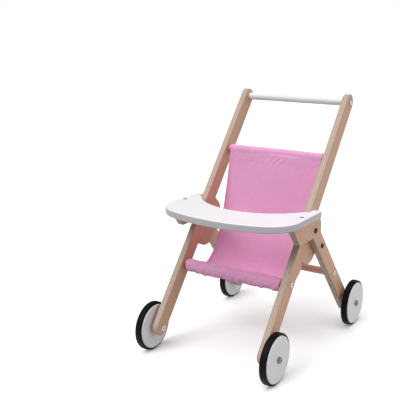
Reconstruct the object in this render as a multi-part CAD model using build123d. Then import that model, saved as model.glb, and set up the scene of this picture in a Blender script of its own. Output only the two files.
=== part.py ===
from build123d import *
import math
import os

# Doll stroller, in millimetres. +Z is up, the front is -Y and the floor is Z = 0. The origin is on the
# floor under the middle of the wheelbase. Left and right are those of the child who pushes it, so the
# left side is +X. Everything on the left is drawn first and mirrored about X = 0 for the right.
# A point on a side of the stroller is written (y, z).

# ---- driving dimensions ----
wheelbase = 356.0          # front axle to rear axle
inside_width = 236.0       # between the inner faces of the two push bars
board = 14.0               # thickness of the push bars and of the side panels
edge_round = 2.0           # rounding of the boards' long edges

# wheels
disc_radius = 47.0
disc_width = 18.0
disc_round = 2.0           # rounding of the disc's rim
tyre_thickness = 5.0       # rubber outside the disc
tyre_width = 14.0
tyre_round = 2.5
groove_width = 8.0         # groove in the disc's rim that keeps the tyre on
groove_depth = 2.5
wheel_gap = 5.0            # from the leg to the wheel

# push bar: one straight plank from the handle to the front axle
bar_width = 35.0
handle_y = 178.5           # axis of the handle bar
handle_z = 508.5
front_axle_offset = 4.5    # the front axle hole sits this far behind the plank's middle line
seat_front_at = 149.5      # seat front dowel, along the plank from its lower end's centre
seat_back_at = 438.0       # seat back dowel, likewise
lobe_below = 66.0          # the lobe starts this far below the rear leg's crossing, along the plank
lobe_length = 111.0
lobe_reach = 64.5          # how far the lobe stands out behind the plank's middle line
lobe_radius = 37.0

# side panel: arm panel and rear leg in one board
rear_leg_width = 33.0
rear_axle_offset = 3.2     # the rear axle hole sits this far behind the leg's middle line
crossing_drop = 22.4       # the leg's middle line crosses the push bar's this far under the tray
arm_height = 39.0          # the arm panel's lower edge, under the tray
arm_ahead = 86.2           # its lower front corner, ahead of the push bar's middle line
arm_behind = 4.8           # its vertical rear edge, behind that line
arm_inner_round = 7.0      # corner between the arm panel's lower edge and the leg
arm_front_round = 4.0
arm_rear_round = 12.0
stretcher_at = 126.0       # along the rear leg, from its lower end's centre
joint_low_drop = 56.8      # joint bolts, along the leg, below the crossing
joint_high_drop = 1.8

# tray: its places are measured from the push bars' middle line at the tray's underside
tray_bottom_z = 291.0
tray_thickness = 15.0
tray_overhang = 6.5        # beyond the side panels' outer faces
tray_ahead = 185.7
tray_behind = 0.3
tray_front_radius = 320.0  # bow of the front edge
tray_corner_radius = 72.0
tray_end_radius = 6.0
tray_round = 3.0
cutout_ahead = 93.7        # front of the round cut-out for the doll
cutout_depth = 84.6        # from there to where the round meets the two arms
tray_screw_ahead = 68.7

# dowels
dowel_radius = 8.0
dowel_round = 1.0
socket_depth = 8.0         # blind sockets for the seat back dowel

# seat sling
fabric = 2.0               # thickness of the doubled cloth
sling_gap = 5.0            # from the sling's edge to the push bar
sling_lean = 12.0          # degrees from the vertical, where the back hangs from its dowel
sling_back_pull = 175.0    # how strongly the seat's curve holds that lean
sling_front_pull = 105.0   # how strongly it holds to the level behind the front dowel
sling_dip = 24.0           # how far that pull points below the front sleeve
sleeve_drop = 8.0          # how far the loose front sleeve hangs under its dowel

# fasteners
bolt_radius = 3.0
bolt_head_radius = 5.3
bolt_head_height = 2.6
bolt_end_gap = 1.0         # from a bolt's tip to the closed end of its insert or nut
hex_across = 4.0           # hex sockets, across flats
hex_depth = 1.8
head_round = 0.9
insert_radius = 4.6
insert_length = 12.0       # inserts in the dowels' ends
insert_floor = 1.0         # closed end of an insert
joint_skin = 2.0           # wood left behind the inserts in the push bars
axle_radius = 3.0
axle_head_radius = 6.2
axle_head_height = 3.5
washer_radius = 6.5
washer_thickness = 1.0
spacer_radius = 5.5
nut_flange_radius = 6.5
nut_flange_thickness = 2.0
nut_sleeve_radius = 4.5
nut_skin = 4.0             # wood left between a barrel nut's sleeve and the leg's outer face
nut_hex_depth = 3.0
nut_web = 2.4              # metal between the nut's hex socket and its thread
screw_radius = 2.1
screw_length = 38.0
screw_head_radius = 4.6
screw_head_height = 2.6

# clearances
bolt_clearance = 0.2       # bolt in a plain hole, on the radius
thread_clearance = 0.05    # bolt in its insert or nut, insert or nut in its bore, on the radius
running_clearance = 0.08   # wheel on its axle, on the radius
side_clearance = 0.3       # wheel to washer and to spacer
socket_clearance = 0.1     # dowel in its blind socket, on the radius and at its end
tyre_clearance = 0.05      # tyre in its groove
notch_clearance = 1.8      # tray notch ahead of the push bars
arm_clearance = 0.45       # tray arm to the push bar's outer face
cloth_clearance = 0.4      # sling to its dowels
overcut = 1.0              # how far a cutting tool runs past a face

# ---- places worked out from the dimensions above ----
bar_in = inside_width / 2
bar_out = bar_in + board
panel_out = bar_out + board
panel_middle = (bar_out + panel_out) / 2
tyre_radius = disc_radius + tyre_thickness
tray_top_z = tray_bottom_z + tray_thickness
front_axle = (-wheelbase / 2, tyre_radius)
rear_axle = (wheelbase / 2, tyre_radius)
handle = (handle_y, handle_z)


def plank_plane(axle, top, offset):
    """A plank's own plane: x runs up its middle line to top, y points to its front edge, z is +X.
    The middle line starts beside the axle hole, which lies offset behind it."""
    hole, end = Vector(0, *axle), Vector(0, *top)
    slope = (end - hole).normalized()
    foot = hole + Vector(0, -slope.Z, slope.Y) * offset
    return Plane(origin=foot, x_dir=end - foot, z_dir=(1, 0, 0))


def on_plank(plane, along, across=0.0):
    """(y, z) of a point on a plank."""
    point = plane.from_local_coords(Vector(along, across, 0))
    return point.Y, point.Z


def at_height(plane, height, across=0.0):
    """How far along a plank its middle line, or a line across from it, reaches a height."""
    return (height - on_plank(plane, 0, across)[1]) / plane.x_dir.Z


bar_plane = plank_plane(front_axle, handle, front_axle_offset)
bar_length = math.dist(on_plank(bar_plane, 0), handle)
crossing_at = at_height(bar_plane, tray_bottom_z - crossing_drop)
crossing = on_plank(bar_plane, crossing_at)
leg_plane = plank_plane(rear_axle, crossing, rear_axle_offset)
leg_length = math.dist(on_plank(leg_plane, 0), crossing)

seat_front = on_plank(bar_plane, seat_front_at)
seat_back = on_plank(bar_plane, seat_back_at)
stretcher = on_plank(leg_plane, stretcher_at)
joints = [on_plank(leg_plane, leg_length - drop) for drop in (joint_low_drop, joint_high_drop)]

# y of the push bars' middle line and of their front edge at the tray's underside
bar_y = on_plank(bar_plane, at_height(bar_plane, tray_bottom_z))[0]
bar_front_y = on_plank(bar_plane, at_height(bar_plane, tray_bottom_z, bar_width / 2), bar_width / 2)[0]
tray_screw_y = bar_y - tray_screw_ahead


def rod(radius, x_start, x_end, at):
    """A cylinder along X from x_start to x_end, with its axis at (y, z)."""
    middle = (x_start + x_end) / 2
    return Pos(middle, at[0], at[1]) * Rot(0, 90, 0) * Cylinder(radius, abs(x_end - x_start))


def hexagon():
    return RegularPolygon(hex_across / 2, 6, major_radius=False)


def socket(x_mouth, depth, at):
    """A hex socket along X, with its mouth at x_mouth; a negative depth cuts towards -X."""
    return extrude(Pos(x_mouth, at[0], at[1]) * Rot(0, 90, 0) * hexagon(), depth, dir=(1, 0, 0))


def board_from(outline, x_start):
    """Extrudes a side outline by the board's thickness and rounds its long edges."""
    solid = extrude(Pos(x_start, 0, 0) * outline, board, dir=(1, 0, 0))
    faces = solid.faces().sort_by(Axis.X)
    return fillet(faces[0].edges() + faces[-1].edges(), edge_round)


def mirrored(shape):
    return mirror(shape, about=Plane.YZ)


# ---- frame ----
def axle_bore(leg_in, at):
    """Stepped bore through a leg: the barrel nut's sleeve, then the axle."""
    sleeve_end = leg_in + board - nut_skin
    sleeve = rod(nut_sleeve_radius + thread_clearance, leg_in - overcut, sleeve_end, at)
    return sleeve + rod(axle_radius + bolt_clearance, leg_in, leg_in + board + overcut, at)


def push_bar():
    """A round-ended plank with a lobe behind it, where the rear leg is bolted on."""
    plank = Pos(bar_length / 2, 0) * SlotCenterToCenter(bar_length, bar_width)
    lobe_middle = crossing_at - lobe_below + lobe_length / 2
    lobe = Pos(lobe_middle, -lobe_reach / 2) * Rectangle(lobe_length, lobe_reach)
    lobe = fillet(lobe.vertices().group_by(Axis.Y)[0], lobe_radius)
    bar = board_from(bar_plane * (plank + lobe), bar_in)
    for at in (seat_front, handle):
        bar -= rod(bolt_radius + bolt_clearance, bar_in - overcut, bar_out + overcut, at)
    bar -= rod(dowel_radius + socket_clearance, bar_in - overcut, bar_in + socket_depth, seat_back)
    for at in joints:
        bar -= rod(insert_radius + thread_clearance, bar_in + joint_skin, bar_out + overcut, at)
    return bar - axle_bore(bar_in, front_axle)


def side_panel():
    """Arm panel and rear leg, cut in one piece."""
    half = rear_leg_width / 2
    bottom = tray_bottom_z - arm_height
    rear_y = bar_y + arm_behind
    foot_front, foot_rear = on_plank(leg_plane, 0, half), on_plank(leg_plane, 0, -half)
    inner = on_plank(leg_plane, at_height(leg_plane, bottom, half), half)
    lower_front = (bar_y - arm_ahead, bottom)
    upper_front = (lower_front[0] + arm_height * leg_plane.x_dir.Y / leg_plane.x_dir.Z, tray_bottom_z)
    bend = on_plank(leg_plane, (rear_y - foot_rear[0]) / leg_plane.x_dir.Y, -half)
    corners = [foot_front, inner, lower_front, upper_front, (rear_y, tray_bottom_z), bend, foot_rear]
    outline = make_face(Polyline(corners, close=True)) + Pos(*on_plank(leg_plane, 0)) * Circle(half)
    rounds = {inner: arm_inner_round, lower_front: arm_front_round, bend: arm_rear_round}
    for corner, radius in rounds.items():
        outline = fillet(outline.vertices().sort_by_distance(corner)[0], radius)
    panel = board_from(Plane.YZ * outline, bar_out)
    for at in joints + [stretcher]:
        panel -= rod(bolt_radius + bolt_clearance, bar_out - overcut, panel_out + overcut, at)
    panel -= Pos(panel_middle, tray_screw_y, tray_top_z) * screw_blank(thread_clearance)
    return panel - axle_bore(bar_out, rear_axle)


def tray():
    """A bow-fronted plate with a round cut-out. Its two arms pass outside the push bars."""
    arm_in = bar_out + arm_clearance
    half_width = panel_out + tray_overhang
    front_y = bar_y - tray_ahead
    depth = tray_ahead + tray_behind
    bow = Pos(0, front_y + tray_front_radius) * Circle(tray_front_radius)
    plate = bow & Pos(0, front_y + depth / 2) * Rectangle(2 * half_width, depth)
    plate = fillet(plate.vertices().group_by(Axis.Y)[0], tray_corner_radius)
    between_arms = Rectangle(2 * arm_in, depth, align=(Align.CENTER, Align.MIN))
    cutout_radius = (arm_in ** 2 + cutout_depth ** 2) / (2 * cutout_depth)
    cutout_y = bar_y - cutout_ahead
    plate -= Pos(0, cutout_y + cutout_radius) * Circle(cutout_radius) & Pos(0, cutout_y) * between_arms
    plate -= Pos(0, bar_front_y - notch_clearance) * between_arms
    plate = fillet(plate.vertices().group_by(Axis.Y)[-1], tray_end_radius)
    solid = extrude(Pos(0, 0, tray_bottom_z) * plate, tray_thickness)
    faces = solid.faces().sort_by(Axis.Z)
    solid = fillet(faces[0].edges() + faces[-1].edges(), tray_round)
    for side in (1, -1):
        solid -= Pos(side * panel_middle, tray_screw_y, tray_top_z) * screw_blank(bolt_clearance)
    return solid


def dowel(half_length, at):
    solid = rod(dowel_radius, -half_length, half_length, at)
    return fillet(solid.edges().filter_by(GeomType.CIRCLE), dowel_round)


def bolted_dowel(half_length, at):
    """A dowel between two boards, bored at both ends for a threaded insert."""
    bore = rod(insert_radius + thread_clearance, half_length - insert_length, half_length + overcut, at)
    return dowel(half_length, at) - bore - mirrored(bore)


def sling():
    """One sheet: a sleeve on the back dowel, a sloping back, a curved seat and a loose front sleeve."""
    inner = dowel_radius + cloth_clearance
    outer = inner + fabric
    middle = inner + fabric / 2
    sleeve_back = Pos(*seat_back) * (Circle(outer) - Circle(inner))
    loop = SlotCenterToCenter(sleeve_drop, 2 * outer) - SlotCenterToCenter(sleeve_drop, 2 * inner)
    sleeve_front = Pos(seat_front[0], seat_front[1] - sleeve_drop / 2) * Rot(0, 0, 90) * loop
    # the seat and back hang in one curve between the sleeves
    low = (seat_front[0], seat_front[1] - sleeve_drop - middle)
    high = (seat_back[0], seat_back[1] - middle)
    lean = math.radians(sling_lean)
    down = (high[0] - sling_back_pull * math.sin(lean), high[1] - sling_back_pull * math.cos(lean))
    hang = Bezier(low, (low[0] + sling_front_pull, low[1] - sling_dip), down, high)
    profile = sleeve_back + sleeve_front + trace(hang, line_width=fabric)
    profile -= Pos(*seat_back) * Circle(inner)
    return extrude(Plane.YZ * profile, bar_in - sling_gap, both=True)


# ---- fasteners ----
def head(radius, height, x_face, at):
    """A low round bolt head with a hex socket, standing out to +X from x_face."""
    solid = rod(radius, x_face, x_face + height, at)
    rim = solid.edges().filter_by(GeomType.CIRCLE).sort_by(Axis.X)[-1]
    return fillet(rim, head_round) - socket(x_face + height, -hex_depth, at)


def bolt(x_face, x_insert_end, at):
    """A bolt with its head on x_face, which reaches towards the middle into an insert."""
    x_tip = x_insert_end + insert_floor + bolt_end_gap
    return head(bolt_head_radius, bolt_head_height, x_face, at) + rod(bolt_radius, x_tip, x_face, at)


def insert(x_end, x_mouth, at):
    """A threaded insert, closed at x_end and open at x_mouth."""
    thread = rod(bolt_radius + thread_clearance, x_end + insert_floor, x_mouth + overcut, at)
    return rod(insert_radius, x_end, x_mouth, at) - thread


def screw_blank(extra=0.0):
    """A countersunk screw with its flat top at the origin; extra is added to its radii."""
    hang = (Align.CENTER, Align.CENTER, Align.MAX)
    cone = Cone(screw_radius + extra, screw_head_radius + extra, screw_head_height, align=hang)
    return cone + Cylinder(screw_radius + extra, screw_length, align=hang)


def tray_screw():
    return Pos(panel_middle, tray_screw_y, tray_top_z) * (screw_blank() - extrude(hexagon(), -hex_depth))


def barrel_nut(leg_in, at):
    """The nut on a leg's inner side that an axle bolt screws into."""
    flange = rod(nut_flange_radius, leg_in - nut_flange_thickness, leg_in, at)
    rim = flange.edges().filter_by(GeomType.CIRCLE).sort_by(Axis.X)[0]
    sleeve_end = leg_in + board - nut_skin
    solid = fillet(rim, head_round) + rod(nut_sleeve_radius, leg_in, sleeve_end, at)
    solid -= rod(axle_radius + thread_clearance, nut_thread_start(leg_in), sleeve_end + overcut, at)
    return solid - socket(leg_in - nut_flange_thickness, nut_hex_depth, at)


def nut_thread_start(leg_in):
    return leg_in - nut_flange_thickness + nut_hex_depth + nut_web


def axle_bolt(leg_in, at):
    x_head = washer_face(leg_in) + washer_thickness
    shank = rod(axle_radius, nut_thread_start(leg_in) + bolt_end_gap, x_head, at)
    return head(axle_head_radius, axle_head_height, x_head, at) + shank


def washer_face(leg_in):
    return leg_in + board + wheel_gap + disc_width + side_clearance


def tube(radius, x_start, x_end, at):
    """A ring that an axle bolt passes through."""
    bore = rod(axle_radius + bolt_clearance, x_start - overcut, x_end + overcut, at)
    return rod(radius, x_start, x_end, at) - bore


def axle_washer(leg_in, at):
    return tube(washer_radius, washer_face(leg_in), washer_face(leg_in) + washer_thickness, at)


def axle_spacer(leg_in, at):
    return tube(spacer_radius, leg_in + board, leg_in + board + wheel_gap - side_clearance, at)


# ---- wheels ----
def wheel(leg_in, at):
    """A disc with a grooved rim, running on its axle bolt."""
    x_start = leg_in + board + wheel_gap
    x_end = x_start + disc_width
    middle = (x_start + x_end) / 2
    disc = rod(disc_radius, x_start, x_end, at)
    disc = fillet(disc.edges().filter_by(GeomType.CIRCLE), disc_round)
    groove = rod(disc_radius + overcut, middle - groove_width / 2, middle + groove_width / 2, at)
    groove -= rod(disc_radius - groove_depth, x_start, x_end, at)
    return disc - groove - rod(axle_radius + running_clearance, x_start - overcut, x_end + overcut, at)


def tyre(leg_in, at):
    """A rubber ring with a rib on the inside that sits in the disc's groove."""
    middle = leg_in + board + wheel_gap + disc_width / 2
    band = rod(tyre_radius, middle - tyre_width / 2, middle + tyre_width / 2, at)
    band = fillet(band.edges().filter_by(GeomType.CIRCLE), tyre_round)
    band -= rod(disc_radius + tyre_clearance, middle - tyre_width, middle + tyre_width, at)
    rib_half = groove_width / 2 - tyre_clearance
    rib = rod(disc_radius + overcut, middle - rib_half, middle + rib_half, at)
    rib -= rod(disc_radius - groove_depth + tyre_clearance, middle - tyre_width, middle + tyre_width, at)
    return band + rib


# ---- every node ----
def pair(left):
    return left + mirrored(left)


joint_end = bar_in + joint_skin
nodes = {
    "tray": tray(),
    "handle_bar": bolted_dowel(bar_in, handle),
    "seat_back_dowel": dowel(bar_in + socket_depth - socket_clearance, seat_back),
    "seat_front_dowel": bolted_dowel(bar_in, seat_front),
    "rear_stretcher": bolted_dowel(bar_out, stretcher),
    "seat_sling": sling(),
    "tray_screws": pair(tray_screw()),
}

# each bolted dowel: the board it is bolted through, its end and its axis
bolted = {
    "handle": (bar_out, bar_in, handle),
    "front_dowel": (bar_out, bar_in, seat_front),
    "stretcher": (panel_out, bar_out, stretcher),
}
for name, (x_face, x_mouth, at) in bolted.items():
    x_end = x_mouth - insert_length
    nodes[name + "_bolts"] = pair(bolt(x_face, x_end, at))
    nodes[name + "_inserts"] = pair(insert(x_end, x_mouth, at))

left_side = {
    "push_bar": push_bar(),
    "side_panel": side_panel(),
    "joint_bolts": Part() + [bolt(panel_out, joint_end, at) for at in joints],
    "joint_inserts": Part() + [insert(joint_end, bar_out, at) for at in joints],
}
for name, shape in left_side.items():
    nodes["left_" + name] = shape
    nodes["right_" + name] = mirrored(shape)

axles = {"front": (bar_in, front_axle), "rear": (bar_out, rear_axle)}
for end, (leg_in, at) in axles.items():
    for name, maker in {"wheel": wheel, "tyre": tyre, "axle_bolt": axle_bolt}.items():
        shape = maker(leg_in, at)
        nodes[end + "_left_" + name] = shape
        nodes[end + "_right_" + name] = mirrored(shape)
for name, maker in {"barrel_nuts": barrel_nut, "washers": axle_washer, "spacers": axle_spacer}.items():
    nodes["axle_" + name] = pair(Part() + [maker(leg_in, at) for leg_in, at in axles.values()])

os.makedirs("parts", exist_ok=True)
for name, shape in nodes.items():
    export_step(shape, "parts/" + name + ".step")
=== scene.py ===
import math

import bmesh
import bpy
from mathutils import Matrix, Vector, noise


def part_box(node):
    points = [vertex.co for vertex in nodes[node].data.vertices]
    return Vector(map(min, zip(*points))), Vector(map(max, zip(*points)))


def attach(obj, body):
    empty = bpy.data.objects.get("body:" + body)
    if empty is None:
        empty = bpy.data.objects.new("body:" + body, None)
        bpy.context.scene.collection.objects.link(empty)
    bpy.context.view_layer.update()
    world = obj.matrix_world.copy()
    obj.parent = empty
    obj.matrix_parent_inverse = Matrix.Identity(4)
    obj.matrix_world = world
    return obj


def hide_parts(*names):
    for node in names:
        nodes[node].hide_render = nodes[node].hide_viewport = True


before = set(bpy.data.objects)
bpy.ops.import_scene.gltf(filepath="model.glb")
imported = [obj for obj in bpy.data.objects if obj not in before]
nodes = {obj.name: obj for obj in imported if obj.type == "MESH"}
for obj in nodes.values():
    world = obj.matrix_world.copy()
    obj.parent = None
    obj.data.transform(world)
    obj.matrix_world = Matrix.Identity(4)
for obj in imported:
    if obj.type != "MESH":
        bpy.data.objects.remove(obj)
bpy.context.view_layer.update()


# ---- Push bars and side panels ----
# Each is a board of birch plywood, sawn to shape, sanded round at the edges and lacquered clear. The
# side panels are bolted to the push bars with two bolts a side, and the rear legs are part of them.

MM = 0.001
PLY = 1.4 * MM                       # thickness of one ply
VENEER, STREAK = "#D3A888", "#C3926F"
CLOUD = "#CC9A7D"                    # broad pinker patches in the veneer
LONG_PLY, END_PLY = "#CBB9AA", "#967C69"    # plies sawn along their grain, and across it
GLUE = "#8F7059"
PORE = "#B98F69"
SHARE, FIRST, SECOND, MIXED = 0, 6, 7, 2    # a colour mix's share, its two colours and its result


def linear(code):
    """An sRGB hex value as linear red, green, blue and alpha."""
    shares = [int(code[i:i + 2], 16) / 255 for i in (1, 3, 5)]
    return [c / 12.92 if c <= 0.04045 else ((c + 0.055) / 1.055) ** 2.4 for c in shares] + [1.0]


def new_material(name):
    """A material with nodes, and its shader."""
    material = bpy.data.materials.new(name)
    material.use_nodes = True
    return material, material.node_tree.nodes["Principled BSDF"]


def add(owner, kind, inputs, **settings):
    """Adds a node to a material or the world. Its inputs are values, or sockets that are then linked."""
    node = owner.node_tree.nodes.new(kind)
    for name, value in settings.items():
        setattr(node, name, value)
    for name, value in inputs.items():
        plug(owner, node.inputs[name], value)
    return node


def plug(owner, socket, value):
    """Sets a socket to a value, or links another socket to it."""
    if isinstance(value, bpy.types.NodeSocket):
        owner.node_tree.links.new(value, socket)
    else:
        socket.default_value = value


def dress(names, material):
    """Gives CAD nodes a finish."""
    for name in names:
        mesh = nodes[name].data
        mesh.materials.clear()
        mesh.materials.append(material)


def middle(name):
    """The middle of a CAD node's box."""
    low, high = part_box(name)
    return (low + high) / 2


def birch_plywood(name, board, along):
    """Rotary-cut birch: pale, close and even, with faint streaks. The sawn edges show the plies."""
    material, shader = new_material(name)
    turn = math.atan2(along.z, along.y)
    place = add(material, "ShaderNodeTexCoord", {})
    # streaks 3 mm wide and 90 mm long, broad clouds, and pores 0.5 mm wide, all along the board
    streak_space = add(material, "ShaderNodeMapping", {
        "Vector": place.outputs["Object"], "Rotation": (turn, 0, 0), "Location": middle(board),
        "Scale": (6 * MM, 90 * MM, 3 * MM)}, vector_type="TEXTURE")
    streaks = add(material, "ShaderNodeTexNoise", {
        "Vector": streak_space.outputs[0], "Scale": 1.0, "Detail": 3.0, "Roughness": 0.6,
        "Distortion": 0.4})
    cloud_space = add(material, "ShaderNodeMapping", {
        "Vector": place.outputs["Object"], "Rotation": (turn, 0, 0), "Location": middle(board),
        "Scale": (30 * MM, 160 * MM, 22 * MM)}, vector_type="TEXTURE")
    clouds = add(material, "ShaderNodeTexNoise", {
        "Vector": cloud_space.outputs[0], "Scale": 1.0, "Detail": 2.0})
    pore_space = add(material, "ShaderNodeMapping", {
        "Vector": place.outputs["Object"], "Rotation": (turn, 0, 0),
        "Scale": (0.6 * MM, 7 * MM, 0.5 * MM)}, vector_type="TEXTURE")
    pores = add(material, "ShaderNodeTexNoise", {
        "Vector": pore_space.outputs[0], "Scale": 1.0, "Detail": 2.0})
    streak_share = add(material, "ShaderNodeMapRange", {
        "Value": streaks.outputs[0], "From Min": 0.32, "From Max": 0.72})
    face = add(material, "ShaderNodeMix", {
        SHARE: streak_share.outputs[0], FIRST: linear(VENEER), SECOND: linear(STREAK)}, data_type="RGBA")
    cloud_share = add(material, "ShaderNodeMapRange", {
        "Value": clouds.outputs[0], "From Min": 0.35, "From Max": 0.7, "To Max": 0.55})
    face = add(material, "ShaderNodeMix", {
        SHARE: cloud_share.outputs[0], FIRST: face.outputs[MIXED], SECOND: linear(CLOUD)},
        data_type="RGBA")

    # the edges: plies with their grain turned about, each a little lighter or darker, and thin dark
    # glue lines between them
    across = add(material, "ShaderNodeSeparateXYZ", {0: place.outputs["Object"]})
    inner_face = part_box(board)[0].x
    depth = add(material, "ShaderNodeMath", {
        0: across.outputs[0], 1: inner_face}, operation="SUBTRACT")
    count = add(material, "ShaderNodeMath", {0: depth.outputs[0], 1: PLY}, operation="DIVIDE")
    layer = add(material, "ShaderNodeMath", {0: count.outputs[0]}, operation="FLOOR")
    turned = add(material, "ShaderNodeMath", {
        0: layer.outputs[0], 1: 2.0}, operation="FLOORED_MODULO")
    each = add(material, "ShaderNodeTexWhiteNoise", {"W": layer.outputs[0]}, noise_dimensions="1D")
    tone = add(material, "ShaderNodeMath", {
        0: turned.outputs[0], 1: 0.55, 2: 0.0}, operation="MULTIPLY_ADD")
    tone = add(material, "ShaderNodeMath", {
        0: each.outputs["Value"], 1: 0.35, 2: tone.outputs[0]}, operation="MULTIPLY_ADD")
    within = add(material, "ShaderNodeMath", {0: count.outputs[0], 1: 1.0}, operation="PINGPONG")
    glue_share = add(material, "ShaderNodeMapRange", {
        "Value": within.outputs[0], "From Min": 0.0, "From Max": 0.16, "To Min": 0.75, "To Max": 0.0})
    plies = add(material, "ShaderNodeMix", {
        SHARE: tone.outputs[0], FIRST: linear(LONG_PLY), SECOND: linear(END_PLY)}, data_type="RGBA")
    plies = add(material, "ShaderNodeMix", {
        SHARE: glue_share.outputs[0], FIRST: plies.outputs[MIXED], SECOND: linear(GLUE)},
        data_type="RGBA")

    # a board's faces look sideways, so whatever doesn't is an edge
    sideways = add(material, "ShaderNodeSeparateXYZ", {0: place.outputs["Normal"]})
    flatness = add(material, "ShaderNodeMath", {0: sideways.outputs[0]}, operation="ABSOLUTE")
    is_face = add(material, "ShaderNodeMapRange", {
        "Value": flatness.outputs[0], "From Min": 0.8, "From Max": 0.97})
    wood = add(material, "ShaderNodeMix", {
        SHARE: is_face.outputs[0], FIRST: plies.outputs[MIXED], SECOND: face.outputs[MIXED]},
        data_type="RGBA")
    pore_share = add(material, "ShaderNodeMapRange", {
        "Value": pores.outputs[0], "From Min": 0.55, "From Max": 0.75, "To Max": 0.28})
    wood = add(material, "ShaderNodeMix", {
        SHARE: pore_share.outputs[0], FIRST: wood.outputs[MIXED], SECOND: linear(PORE)},
        data_type="RGBA")
    relief = add(material, "ShaderNodeBump", {
        "Strength": 0.25, "Distance": 0.1 * MM, "Height": pores.outputs[0]})
    gloss = add(material, "ShaderNodeMapRange", {
        "Value": streaks.outputs[0], "To Min": 0.42, "To Max": 0.56})
    plug(material, shader.inputs["Base Color"], wood.outputs[MIXED])
    plug(material, shader.inputs["Roughness"], gloss.outputs[0])
    plug(material, shader.inputs["Normal"], relief.outputs[0])
    # the clear lacquer
    shader.inputs["Coat Weight"].default_value = 0.12
    shader.inputs["Coat Roughness"].default_value = 0.35
    return material


bar_line = middle("handle_bar") - middle("front_left_wheel")
leg_line = middle("left_joint_bolts") - middle("rear_left_wheel")
for side in ("left", "right"):
    bar_name, panel_name = side + "_push_bar", side + "_side_panel"
    dress([bar_name], birch_plywood(side + "_bar_birch_plywood", bar_name, bar_line))
    dress([panel_name], birch_plywood(side + "_panel_birch_plywood", panel_name, leg_line))


# ---- Dowels ----
# Turned beech rods: the rear stretcher between the legs, and the two that carry the seat sling. They
# are only sanded and lacquered, so the grain runs along them in short brown flecks.

BEECH, BEECH_STREAK = "#E6BBA0", "#D3A084"
FLECK = "#A87652"


def beech(name):
    """Lacquered beech, a little pinker than birch, with short flecks along the grain."""
    material, shader = new_material(name)
    place = add(material, "ShaderNodeTexCoord", {})
    streak_space = add(material, "ShaderNodeMapping", {
        "Vector": place.outputs["Object"], "Scale": (70 * MM, 2 * MM, 2 * MM)}, vector_type="TEXTURE")
    streaks = add(material, "ShaderNodeTexNoise", {
        "Vector": streak_space.outputs[0], "Scale": 1.0, "Detail": 3.0, "Roughness": 0.6})
    fleck_space = add(material, "ShaderNodeMapping", {
        "Vector": place.outputs["Object"], "Scale": (4 * MM, 0.5 * MM, 0.5 * MM)}, vector_type="TEXTURE")
    flecks = add(material, "ShaderNodeTexNoise", {
        "Vector": fleck_space.outputs[0], "Scale": 1.0, "Detail": 1.0})
    streak_share = add(material, "ShaderNodeMapRange", {
        "Value": streaks.outputs[0], "From Min": 0.3, "From Max": 0.7})
    wood = add(material, "ShaderNodeMix", {
        SHARE: streak_share.outputs[0], FIRST: linear(BEECH), SECOND: linear(BEECH_STREAK)},
        data_type="RGBA")
    fleck_share = add(material, "ShaderNodeMapRange", {
        "Value": flecks.outputs[0], "From Min": 0.6, "From Max": 0.72, "To Max": 0.4})
    wood = add(material, "ShaderNodeMix", {
        SHARE: fleck_share.outputs[0], FIRST: wood.outputs[MIXED], SECOND: linear(FLECK)},
        data_type="RGBA")
    relief = add(material, "ShaderNodeBump", {
        "Strength": 0.2, "Distance": 0.1 * MM, "Height": flecks.outputs[0]})
    plug(material, shader.inputs["Base Color"], wood.outputs[MIXED])
    plug(material, shader.inputs["Normal"], relief.outputs[0])
    shader.inputs["Roughness"].default_value = 0.45
    return material


dress(["rear_stretcher", "seat_back_dowel", "seat_front_dowel"], beech("lacquered_beech"))


# ---- Painted pieces ----
# The tray is a plywood board and the wheels are discs of it, and the handle is a beech rod. All are
# sprayed with white satin paint, two coats, which leaves a fine orange peel.

PAINT_SHADE = "#C9C9CD"       # the faint darker clouds in the paint


def satin_paint(name, top, side):
    """Sprayed white satin paint: even, faintly uneven in gloss, with a fine orange peel. Faces that
    point sideways take the side colour, a darker painted shade, and level faces take the top colour."""
    material, shader = new_material(name)
    place = add(material, "ShaderNodeTexCoord", {})
    peel_space = add(material, "ShaderNodeMapping", {
        "Vector": place.outputs["Object"], "Scale": (1.6 * MM,) * 3}, vector_type="TEXTURE")
    peel = add(material, "ShaderNodeTexNoise", {
        "Vector": peel_space.outputs[0], "Scale": 1.0, "Detail": 1.0})
    cloud_space = add(material, "ShaderNodeMapping", {
        "Vector": place.outputs["Object"], "Scale": (35 * MM,) * 3}, vector_type="TEXTURE")
    clouds = add(material, "ShaderNodeTexNoise", {
        "Vector": cloud_space.outputs[0], "Scale": 1.0, "Detail": 3.0})
    facing = add(material, "ShaderNodeSeparateXYZ", {0: place.outputs["Normal"]})
    # painted shade: the more a face points sideways, the more it takes the darker side colour
    unshaded_share = add(material, "ShaderNodeMapRange", {
        "Value": facing.outputs[2], "From Min": 0.45, "From Max": 0.9})
    paint = add(material, "ShaderNodeMix", {
        SHARE: unshaded_share.outputs[0], FIRST: linear(side), SECOND: linear(top)}, data_type="RGBA")
    cloud_share = add(material, "ShaderNodeMath", {0: clouds.outputs[0], 1: 0.12}, operation="MULTIPLY")
    paint = add(material, "ShaderNodeMix", {
        SHARE: cloud_share.outputs[0], FIRST: paint.outputs[MIXED], SECOND: linear(PAINT_SHADE)},
        data_type="RGBA")
    gloss = add(material, "ShaderNodeMapRange", {
        "Value": clouds.outputs[0], "To Min": 0.34, "To Max": 0.44})
    relief = add(material, "ShaderNodeBump", {
        "Strength": 0.12, "Distance": 0.1 * MM, "Height": peel.outputs[0]})
    plug(material, shader.inputs["Base Color"], paint.outputs[MIXED])
    plug(material, shader.inputs["Roughness"], gloss.outputs[0])
    plug(material, shader.inputs["Normal"], relief.outputs[0])
    return material


corners = [end + side for end in ("front_", "rear_") for side in ("left_", "right_")]
# the tray's sideways faces get a clearly darker grey as painted shade
dress(["tray"], satin_paint("white_satin_paint_with_painted_shade_on_its_edges", "#EEECEF", "#B9B6B9"))
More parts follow.
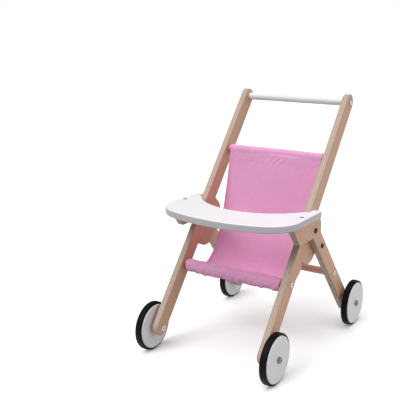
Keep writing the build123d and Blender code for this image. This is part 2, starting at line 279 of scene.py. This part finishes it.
# the handle's and wheels' sideways faces get a faintly darker painted shade
dress(["handle_bar"] + [corner + "wheel" for corner in corners],
      satin_paint("white_satin_paint", "#E9E7EA", "#E4E2E5"))


# ---- Tyres ----
# Solid rubber rings, moulded and stretched over the discs, where a rib holds each in its groove.

RUBBER, RUBBER_DUST = "#040406", "#09090B"


def rubber(name):
    """Black moulded rubber: nearly black, with a faint shine broken by the mould's fine texture."""
    material, shader = new_material(name)
    place = add(material, "ShaderNodeTexCoord", {})
    grain_space = add(material, "ShaderNodeMapping", {
        "Vector": place.outputs["Object"], "Scale": (0.7 * MM,) * 3}, vector_type="TEXTURE")
    grain = add(material, "ShaderNodeTexNoise", {
        "Vector": grain_space.outputs[0], "Scale": 1.0, "Detail": 2.0})
    dust_space = add(material, "ShaderNodeMapping", {
        "Vector": place.outputs["Object"], "Scale": (14 * MM,) * 3}, vector_type="TEXTURE")
    dust = add(material, "ShaderNodeTexNoise", {
        "Vector": dust_space.outputs[0], "Scale": 1.0, "Detail": 3.0})
    black = add(material, "ShaderNodeMix", {
        SHARE: dust.outputs[0], FIRST: linear(RUBBER), SECOND: linear(RUBBER_DUST)}, data_type="RGBA")
    gloss = add(material, "ShaderNodeMapRange", {
        "Value": dust.outputs[0], "To Min": 0.42, "To Max": 0.54})
    relief = add(material, "ShaderNodeBump", {
        "Strength": 0.2, "Distance": 0.08 * MM, "Height": grain.outputs[0]})
    plug(material, shader.inputs["Base Color"], black.outputs[MIXED])
    plug(material, shader.inputs["Roughness"], gloss.outputs[0])
    plug(material, shader.inputs["Normal"], relief.outputs[0])
    shader.inputs["Specular IOR Level"].default_value = 0.1
    return material


dress([corner + "tyre" for corner in corners], rubber("black_moulded_rubber"))


# ---- Fasteners ----
# Socket-head bolts, screws, inserts, barrel nuts, washers and spacers of zinc-plated steel, duller on
# the axles, and black bolts where the rear legs join. All are bought in.

def plated_steel(name, bright, dull, low_roughness, high_roughness):
    """Turned and plated steel: metallic, with fine uneven wear in its shine."""
    material, shader = new_material(name)
    place = add(material, "ShaderNodeTexCoord", {})
    wear_space = add(material, "ShaderNodeMapping", {
        "Vector": place.outputs["Object"], "Scale": (1.5 * MM,) * 3}, vector_type="TEXTURE")
    wear = add(material, "ShaderNodeTexNoise", {
        "Vector": wear_space.outputs[0], "Scale": 1.0, "Detail": 3.0})
    metal = add(material, "ShaderNodeMix", {
        SHARE: wear.outputs[0], FIRST: linear(bright), SECOND: linear(dull)}, data_type="RGBA")
    gloss = add(material, "ShaderNodeMapRange", {
        "Value": wear.outputs[0], "To Min": low_roughness, "To Max": high_roughness})
    plug(material, shader.inputs["Base Color"], metal.outputs[MIXED])
    plug(material, shader.inputs["Roughness"], gloss.outputs[0])
    shader.inputs["Metallic"].default_value = 1.0
    return material


zinc = plated_steel("bright_zinc_plate", "#D6D7D9", "#B9BABD", 0.18, 0.36)
dull_zinc = plated_steel("dull_zinc_plate", "#98989B", "#737377", 0.3, 0.48)
black_oxide = plated_steel("black_oxide_steel", "#3A3634", "#26231F", 0.3, 0.5)
dress(["left_joint_bolts", "right_joint_bolts"], black_oxide)
dress([corner + "axle_bolt" for corner in corners] + ["axle_washers"], dull_zinc)
dress([name for name in nodes if name.endswith(("_inserts", "_screws"))], zinc)
dress(["handle_bolts", "front_dowel_bolts", "stretcher_bolts"], zinc)
dress(["axle_barrel_nuts", "axle_spacers"], zinc)


# ---- Seat sling ----
# One strip of pink cotton, hemmed down both sides. Each end is turned over its dowel and sewn down
# behind or underneath, which makes a snug sleeve at the back and a loose, plump one at the front.

CLOTH = 0.9 * MM              # thickness of the cloth
HEM = 8 * MM                  # width of the turned side hems
HEM_THICKNESS = 1.8 * CLOTH   # two cloths, pressed
CELL = 2 * MM                 # the cloth's mesh
SNUG = 0.9 * MM               # from a dowel to the cloth's middle
SLEEVE = 20 * MM              # length of the back sleeve below its dowel, down to the seam
LEAN = math.radians(-102)     # heading of the back where it leaves its dowel
BACK_PULL = 165 * MM          # how strongly the slack curve keeps that heading
SEAT_PULL = 98 * MM           # how far the slack curve reaches back from the front seam
SEAT_DIP = 36 * MM            # and how far it dips on that way
FLAP = 9 * MM                 # cloth past a seam
FLAP_GAP = 1.3 * CLOTH        # between the middles of a flap and of the cloth that it is sewn to
ROLL = 13.6 * MM              # radius of the loose front sleeve, which hangs on its dowel
ROLL_PINCH = 1.5 * MM         # how much smaller that radius is at a side edge
ROLL_START, ROLL_END = -22, 277    # the roll's round stretch, in degrees about its middle
FRONT_SEAM = math.radians(-52)     # where the seat meets the roll, about the same middle
SEAM_STANDS = 2 * MM          # how far outside the roll that seam lies
NARROWING = 4.5 * MM          # how far each side edge draws in between the dowels
SAG = 5 * MM                  # how much lower the seat is at mid-width
MEAN_LINE = 0.6               # share of the half width where the cloth's length is the average one

back_low, back_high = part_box("seat_back_dowel")
wrap = (back_high.z - back_low.z) / 2 + SNUG
back_at = middle("seat_back_dowel").yz
front_at = middle("seat_front_dowel").yz
# where the sleeve's rear face leaves the dowel, as an angle from LEAN
sleeve_open = math.pi / 2 - 2 * math.atan(wrap / SLEEVE)


def ray(angle, length=1.0):
    """A vector in the (y, z) plane."""
    return Vector((math.cos(angle), math.sin(angle))) * length


def arc(centre, radius, start, end):
    """Points about 1 mm apart on an arc between two angles."""
    steps = max(2, round(abs(end - start) * radius / MM))
    return [centre + ray(start + (end - start) * i / steps, radius) for i in range(steps + 1)]


def line(start, end):
    """Points about 1 mm apart on a straight line."""
    steps = max(2, round((end - start).length / MM))
    return [start.lerp(end, i / steps) for i in range(steps + 1)]


def hanging(start, start_pull, end, end_pull):
    """Points on the slack curve that leaves start and reaches end along their two pulls."""
    points, steps = [], 400
    for i in range(steps + 1):
        t = i / steps
        points.append(start * (1 - t) ** 3 + (start + start_pull) * 3 * t * (1 - t) ** 2
                      + (end + end_pull) * 3 * t ** 2 * (1 - t) + end * t ** 3)
    return points


def side_line(share):
    """The cloth's line in the (y, z) plane, from the rear flap's edge to the front flap's, at a share
    from 0 at mid-width to 1 at a side edge."""
    droop = 1 - share ** 2
    roll = ROLL - ROLL_PINCH * share ** 8
    down = ray(LEAN)
    tangent = back_at + ray(LEAN - math.pi / 2, wrap)
    seam = tangent + down * SLEEVE
    behind = ray(LEAN + math.pi / 2, FLAP_GAP)
    points = line(seam + behind + down * FLAP, seam + behind)
    points += arc(back_at, wrap, LEAN + sleeve_open, LEAN + 1.5 * math.pi)
    roll_at = front_at - Vector((0, roll - wrap))
    front_seam = roll_at + ray(FRONT_SEAM, roll + SEAM_STANDS)
    seat_pull = Vector((SEAT_PULL, -SEAT_DIP - SAG * 2 * droop))
    points += hanging(tangent, down * BACK_PULL, front_seam, seat_pull)
    points += arc(roll_at, roll, math.radians(ROLL_START), math.radians(ROLL_END))
    under = front_seam + Vector((0, -FLAP_GAP))
    points += line(under, under + Vector((FLAP, -1 * MM)))
    return points


def even(points, count):
    """The same line as count points at equal steps, and its length."""
    reach = [0.0]
    for a, b in zip(points, points[1:]):
        reach.append(reach[-1] + (b - a).length)
    found, at = [], 0
    for i in range(count):
        goal = reach[-1] * i / (count - 1)
        while at < len(points) - 2 and reach[at + 1] < goal:
            at += 1
        span = reach[at + 1] - reach[at]
        found.append(points[at].lerp(points[at + 1], (goal - reach[at]) / span if span else 0.0))
    return found, reach[-1]


half_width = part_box("seat_sling")[1].x
rows = round(even(side_line(0), 2)[1] / CELL) + 1
columns = 2 * round(half_width / CELL) + 1
cut_length = even(side_line(MEAN_LINE), 2)[1]
# places along the flat cut: the back sleeve's seam, and where the front roll begins
back_seam_at = FLAP + SLEEVE * 2 + wrap * (1.5 * math.pi - sleeve_open)
roll_from = cut_length - FLAP - ROLL * math.radians(ROLL_END - ROLL_START)

# the depth of each kind of fold, by where it is
PUCKER_ON_ROLL, PUCKER_AT_SEAM, PUCKER_ELSEWHERE = 2.0 * MM, 0.5 * MM, 0.12 * MM
SOFT_WRINKLE = 2.6 * MM
FINE_ON_ROLL, FINE_AT_EDGE, FINE_ELSEWHERE = 0.35 * MM, 0.5 * MM, 0.18 * MM
SEAM_REACH = 14 * MM          # how far from the back seam its puckers fade
EDGE_REACH = 12 * MM          # and from a side edge its fine wrinkles
ROLL_FADE = 16 * MM           # length over which the seat's folds turn into the roll's


def wave(across, along, layer):
    """Smooth noise. Each layer is another draw."""
    return noise.noise(Vector((across, along, layer)))


def folds(across, along):
    """How far the cloth stands out of its smooth shape: slanting puckers drawn in by the seams, deepest
    on the front roll, with long soft wrinkles between them and fine ones towards the edges."""
    roll = min(max((along - roll_from) / ROLL_FADE + 0.5, 0.0), 1.0)
    seam = math.exp(-((along - back_seam_at) / SEAM_REACH) ** 2)
    edge = math.exp(-(half_width - abs(across)) / EDGE_REACH) * (1 - roll)
    slant = Vector((across / (8 * MM) + along / (11 * MM), along / (22 * MM), 2.5))
    pucker = noise.noise(slant) + 0.6 * noise.noise(slant * 1.9)
    soft = wave(across / (60 * MM), along / (75 * MM), 7.5)
    fine = wave(across / (9 * MM), along / (16 * MM), 4.5)
    return (pucker * (PUCKER_ON_ROLL * roll + PUCKER_AT_SEAM * seam + PUCKER_ELSEWHERE)
            + soft * SOFT_WRINKLE * (1 - roll)
            + fine * (FINE_ON_ROLL * roll + FINE_AT_EDGE * edge + FINE_ELSEWHERE))


def put(name, data):
    """A mesh, a lamp or a camera as an object in the scene."""
    item = bpy.data.objects.new(name, data)
    bpy.context.scene.collection.objects.link(item)
    return item


# a flat grid, half a unit to each side, takes the flat cut as its UV map and is then bent to shape
cloth = bmesh.new()
bmesh.ops.create_grid(cloth, x_segments=columns - 1, y_segments=rows - 1, size=0.5)
uv = cloth.loops.layers.uv.new("flat_cut")
for face in cloth.faces:
    for loop in face.loops:
        loop[uv].uv = (loop.vert.co.x * 2 * half_width, (loop.vert.co.y + 0.5) * cut_length)
lines, places, hem_verts = {}, {}, []
for vert in cloth.verts:
    across, along = vert.co.x * 2, vert.co.y + 0.5
    share = round(abs(across), 4)
    if share not in lines:
        lines[share] = even(side_line(share), rows)[0]
    y, z = lines[share][round(along * (rows - 1))]
    drawn_in = NARROWING * math.sin(math.pi * along) ** 2
    places[vert] = (across * half_width, along * cut_length)
    if half_width * (1 - abs(across)) < HEM:
        hem_verts.append(vert.index)
    vert.co = (across * (half_width - drawn_in), y, z)
cloth.normal_update()
lifts = {vert: vert.normal * folds(*places[vert]) for vert in cloth.verts}
for vert, lift in lifts.items():
    # the cloth lies closer where it is pulled round the back dowel
    is_wrapped = (vert.co.yz - back_at).length < wrap + 1.5 * MM
    vert.co += lift * (0.25 if is_wrapped else 1.0)
cloth.normal_update()
surface = {}
for vert, (u, v) in places.items():
    crossing = round(u / half_width * (columns - 1) / 2), round(v / cut_length * (rows - 1))
    surface[crossing] = vert.co.copy(), vert.normal.copy()
cloth_mesh = bpy.data.meshes.new("seat_sling_cloth")
cloth.to_mesh(cloth_mesh)
cloth.free()
cloth_mesh.shade_smooth()
sling = put("seat_sling_cloth", cloth_mesh)
hem_group = sling.vertex_groups.new(name="hem")
hem_group.add(hem_verts, 1.0, "REPLACE")
thickness = sling.modifiers.new("thickness", "SOLIDIFY")
thickness.thickness = HEM_THICKNESS
thickness.offset = 0
thickness.vertex_group = "hem"
thickness.thickness_vertex_group = CLOTH / HEM_THICKNESS

COTTON, COTTON_SLUB = "#ECA9D2", "#E39AC5"
SHEEN = "#FFE3F4"
YARN = 0.8 * MM               # spacing of the weave, drawn twice as coarse as the real one to show


def cotton(name):
    """Plain-woven cotton: matt, with a soft sheen at glancing angles and small slubs in the thread."""
    material, shader = new_material(name)
    place = add(material, "ShaderNodeUVMap", {}, uv_map="flat_cut")
    slub_space = add(material, "ShaderNodeMapping", {
        "Vector": place.outputs[0], "Scale": (12 * MM, 5 * MM, 1.0)}, vector_type="TEXTURE")
    slubs = add(material, "ShaderNodeTexNoise", {
        "Vector": slub_space.outputs[0], "Scale": 1.0, "Detail": 4.0})
    pink = add(material, "ShaderNodeMix", {
        SHARE: slubs.outputs[0], FIRST: linear(COTTON), SECOND: linear(COTTON_SLUB)}, data_type="RGBA")
    split = add(material, "ShaderNodeSeparateXYZ", {0: place.outputs[0]})
    waves = []
    for axis in (0, 1):
        turn = add(material, "ShaderNodeMath", {
            0: split.outputs[axis], 1: math.pi / YARN}, operation="MULTIPLY")
        waves.append(add(material, "ShaderNodeMath", {0: turn.outputs[0]}, operation="SINE"))
    weave = add(material, "ShaderNodeMath", {
        0: waves[0].outputs[0], 1: waves[1].outputs[0]}, operation="MULTIPLY")
    relief = add(material, "ShaderNodeBump", {
        "Strength": 0.35, "Distance": 0.12 * MM, "Height": weave.outputs[0]})
    # small creases, too fine for the mesh
    crumple_space = add(material, "ShaderNodeMapping", {
        "Vector": place.outputs[0], "Scale": (7 * MM, 11 * MM, 1.0)}, vector_type="TEXTURE")
    crumple = add(material, "ShaderNodeTexNoise", {
        "Vector": crumple_space.outputs[0], "Scale": 1.0, "Detail": 3.0, "Distortion": 0.6})
    relief = add(material, "ShaderNodeBump", {
        "Strength": 0.3, "Distance": 0.7 * MM, "Height": crumple.outputs[0],
        "Normal": relief.outputs[0]})
    plug(material, shader.inputs["Base Color"], pink.outputs[MIXED])
    plug(material, shader.inputs["Normal"], relief.outputs[0])
    shader.inputs["Roughness"].default_value = 0.85
    shader.inputs["Subsurface Weight"].default_value = 0.2
    shader.inputs["Subsurface Radius"].default_value = (1.0, 0.6, 0.8)
    shader.inputs["Subsurface Scale"].default_value = 4 * MM
    shader.inputs["Sheen Weight"].default_value = 0.2
    shader.inputs["Sheen Roughness"].default_value = 0.5
    shader.inputs["Sheen Tint"].default_value = linear(SHEEN)
    return material


cloth_mesh.materials.append(cotton("pink_plain_cotton"))
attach(sling, "frame")
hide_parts("seat_sling")

# lock stitches of pink thread along both side hems and both sleeve seams
STITCH = 3 * MM               # from one stitch to the next
BARE = 0.12                   # share of that length without thread at each end
THREAD = 0.35 * MM            # half the width of a stitch
THREAD_DEPTH = 0.8 * THREAD   # half its depth, as it is pulled flat
STANDS_OUT = 0.3 * THREAD     # from the cloth's surface to a stitch's middle
HEM_STITCH_IN = 1.5 * MM      # from a hem's inner edge to its row of stitches
END_GAP = 2 * MM              # from the cloth's ends to a hem's first and last stitch
ROLL_SEAM_OUT = 1 * MM        # from the start of the roll to the seam


def spot(u, v):
    """The cloth's surface and its normal at a place on the flat cut, from mid-width and the rear end."""
    x = min(max(u / half_width, -1.0), 1.0) * (columns - 1) / 2
    y = min(max(v / cut_length, 0.0), 1.0) * (rows - 1)
    i, j = min(math.floor(x), (columns - 1) // 2 - 1), min(math.floor(y), rows - 2)
    found = []
    for k in (0, 1):
        low_side = surface[i, j][k].lerp(surface[i + 1, j][k], x - i)
        high_side = surface[i, j + 1][k].lerp(surface[i + 1, j + 1][k], x - i)
        found.append(low_side.lerp(high_side, y - j))
    return found[0], found[1].normalized()


# one stitch, a small long bead that sew repeats
stitch = bmesh.new()
bmesh.ops.create_uvsphere(stitch, u_segments=6, v_segments=4, radius=1)
stitch_points = [vert.co.copy() for vert in stitch.verts]
stitch_faces = [[vert.index for vert in face.verts] for face in stitch.faces]
stitch.free()
thread_points, thread_faces = [], []


def sew(start, end, cloth_thickness):
    """A row of stitches between two places on the flat cut, on both faces of the cloth."""
    run = Vector(end) - Vector(start)
    count = round(run.length / STITCH)
    for i in range(count):
        first, normal = spot(*(Vector(start) + run * ((i + BARE) / count)))
        last = spot(*(Vector(start) + run * ((i + 1 - BARE) / count)))[0]
        along = last - first
        turn = along.to_track_quat("X", "Z").to_matrix().to_4x4()
        size = Matrix.Diagonal((along.length / 2, THREAD, THREAD_DEPTH, 1))
        for face_side in (1, -1):
            lift = normal * face_side * (cloth_thickness / 2 + STANDS_OUT)
            place = Matrix.Translation((first + last) / 2 + lift) @ turn @ size
            base = len(thread_points)
            thread_points.extend(place @ point for point in stitch_points)
            thread_faces.extend([base + k for k in face] for face in stitch_faces)


for side in (1, -1):
    edge = side * (half_width - HEM + HEM_STITCH_IN)
    sew((edge, END_GAP), (edge, cut_length - END_GAP), HEM_THICKNESS)
for seam_at in (back_seam_at, roll_from - ROLL_SEAM_OUT):
    sew((HEM - half_width, seam_at), (half_width - HEM, seam_at), CLOTH)
thread_mesh = bpy.data.meshes.new("sling_stitching")
thread_mesh.from_pydata(thread_points, [], thread_faces)
thread_mesh.shade_smooth()
stitching = put("sling_stitching", thread_mesh)

# spun thread: matt, its tone broken by the twist
thread_paint, thread_shader = new_material("pink_sewing_thread")
thread_place = add(thread_paint, "ShaderNodeTexCoord", {})
twist_space = add(thread_paint, "ShaderNodeMapping", {
    "Vector": thread_place.outputs["Object"], "Scale": (0.6 * MM,) * 3}, vector_type="TEXTURE")
twist = add(thread_paint, "ShaderNodeTexNoise", {"Vector": twist_space.outputs[0], "Scale": 1.0})
thread_tone = add(thread_paint, "ShaderNodeMix", {
    SHARE: twist.outputs[0], FIRST: linear("#F3B4D8"), SECOND: linear("#D98FBC")}, data_type="RGBA")
plug(thread_paint, thread_shader.inputs["Base Color"], thread_tone.outputs[MIXED])
thread_shader.inputs["Roughness"].default_value = 0.6
thread_mesh.materials.append(thread_paint)
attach(stitching, "frame")


# ---- Stage ----
# A plain pale floor and a white room, under soft light from above, from the front and from the +X
# side, with a camera that looks down a little from the front and the +X side.

FLOOR = 40                    # metres from the middle of the floor to its edges
CAMERA_DOWN, CAMERA_TURN = 13.94, 33.22     # degrees below level, and from looking straight back

floor_shape = bmesh.new()
bmesh.ops.create_grid(floor_shape, x_segments=1, y_segments=1, size=FLOOR)
floor_mesh = bpy.data.meshes.new("floor")
floor_shape.to_mesh(floor_mesh)
floor_shape.free()
floor = put("floor", floor_mesh)
floor_paint, floor_shader = new_material("pale_floor")
floor_shader.inputs["Base Color"].default_value = linear("#F6F6F6")
floor_shader.inputs["Roughness"].default_value = 0.9
# a faint glow keeps it pale, and it throws no light back, because the room's light from below does
floor_shader.inputs["Emission Color"].default_value = linear("#FFFFFF")
floor_shader.inputs["Emission Strength"].default_value = 0.2
floor_mesh.materials.append(floor_paint)
floor.visible_diffuse = False

world = bpy.data.worlds.new("studio")
bpy.context.scene.world = world
world.use_nodes = True
sky = world.node_tree.nodes["Background"]
sky.inputs["Color"].default_value = linear("#FFFFFF")
# the room is white to look at, and lights the object most from below, least at eye level and
# a little more from above
heading = add(world, "ShaderNodeTexCoord", {})
split_heading = add(world, "ShaderNodeSeparateXYZ", {0: heading.outputs["Object"]})
lower = add(world, "ShaderNodeMapRange", {
    "Value": split_heading.outputs[2], "From Min": -1, "From Max": 0, "To Min": 0.66, "To Max": 0.2})
upper = add(world, "ShaderNodeMapRange", {
    "Value": split_heading.outputs[2], "From Min": 0, "From Max": 1, "To Min": 0.0, "To Max": 0.14})
brightness = add(world, "ShaderNodeMath", {0: lower.outputs[0], 1: upper.outputs[0]}, operation="ADD")
ray_kind = add(world, "ShaderNodeLightPath", {})
level = add(world, "ShaderNodeMapRange", {
    "Value": ray_kind.outputs["Is Camera Ray"], "To Min": brightness.outputs[0], "To Max": 1.0})
plug(world, sky.inputs["Strength"], level.outputs[0])


def sun(name, strength, width, towards):
    """A far lamp that shines towards a heading. The wider it is, in degrees, the softer its shadows."""
    light = bpy.data.lights.new(name, "SUN")
    light.energy = strength
    light.angle = math.radians(width)
    put(name, light).rotation_euler = Vector(towards).to_track_quat("-Z", "Y").to_euler()


sun("overhead_softbox", 1.75, 60, (0.1, 0.15, -1))
sun("front_softbox", 1.25, 30, (0.2, 0.75, -0.68))
sun("side_softbox", 1.0, 60, (-1, -0.2, -0.35))

camera_data = bpy.data.cameras.new("camera")
camera_data.lens = 65.93
camera_data.sensor_width = 36
camera = put("camera", camera_data)
camera.location = (0.7328, -1.3353, 0.6863)
camera.rotation_euler = (math.radians(90 - CAMERA_DOWN), 0, math.radians(CAMERA_TURN))
bpy.context.scene.camera = camera
bpy.context.scene.view_settings.view_transform = "Standard"
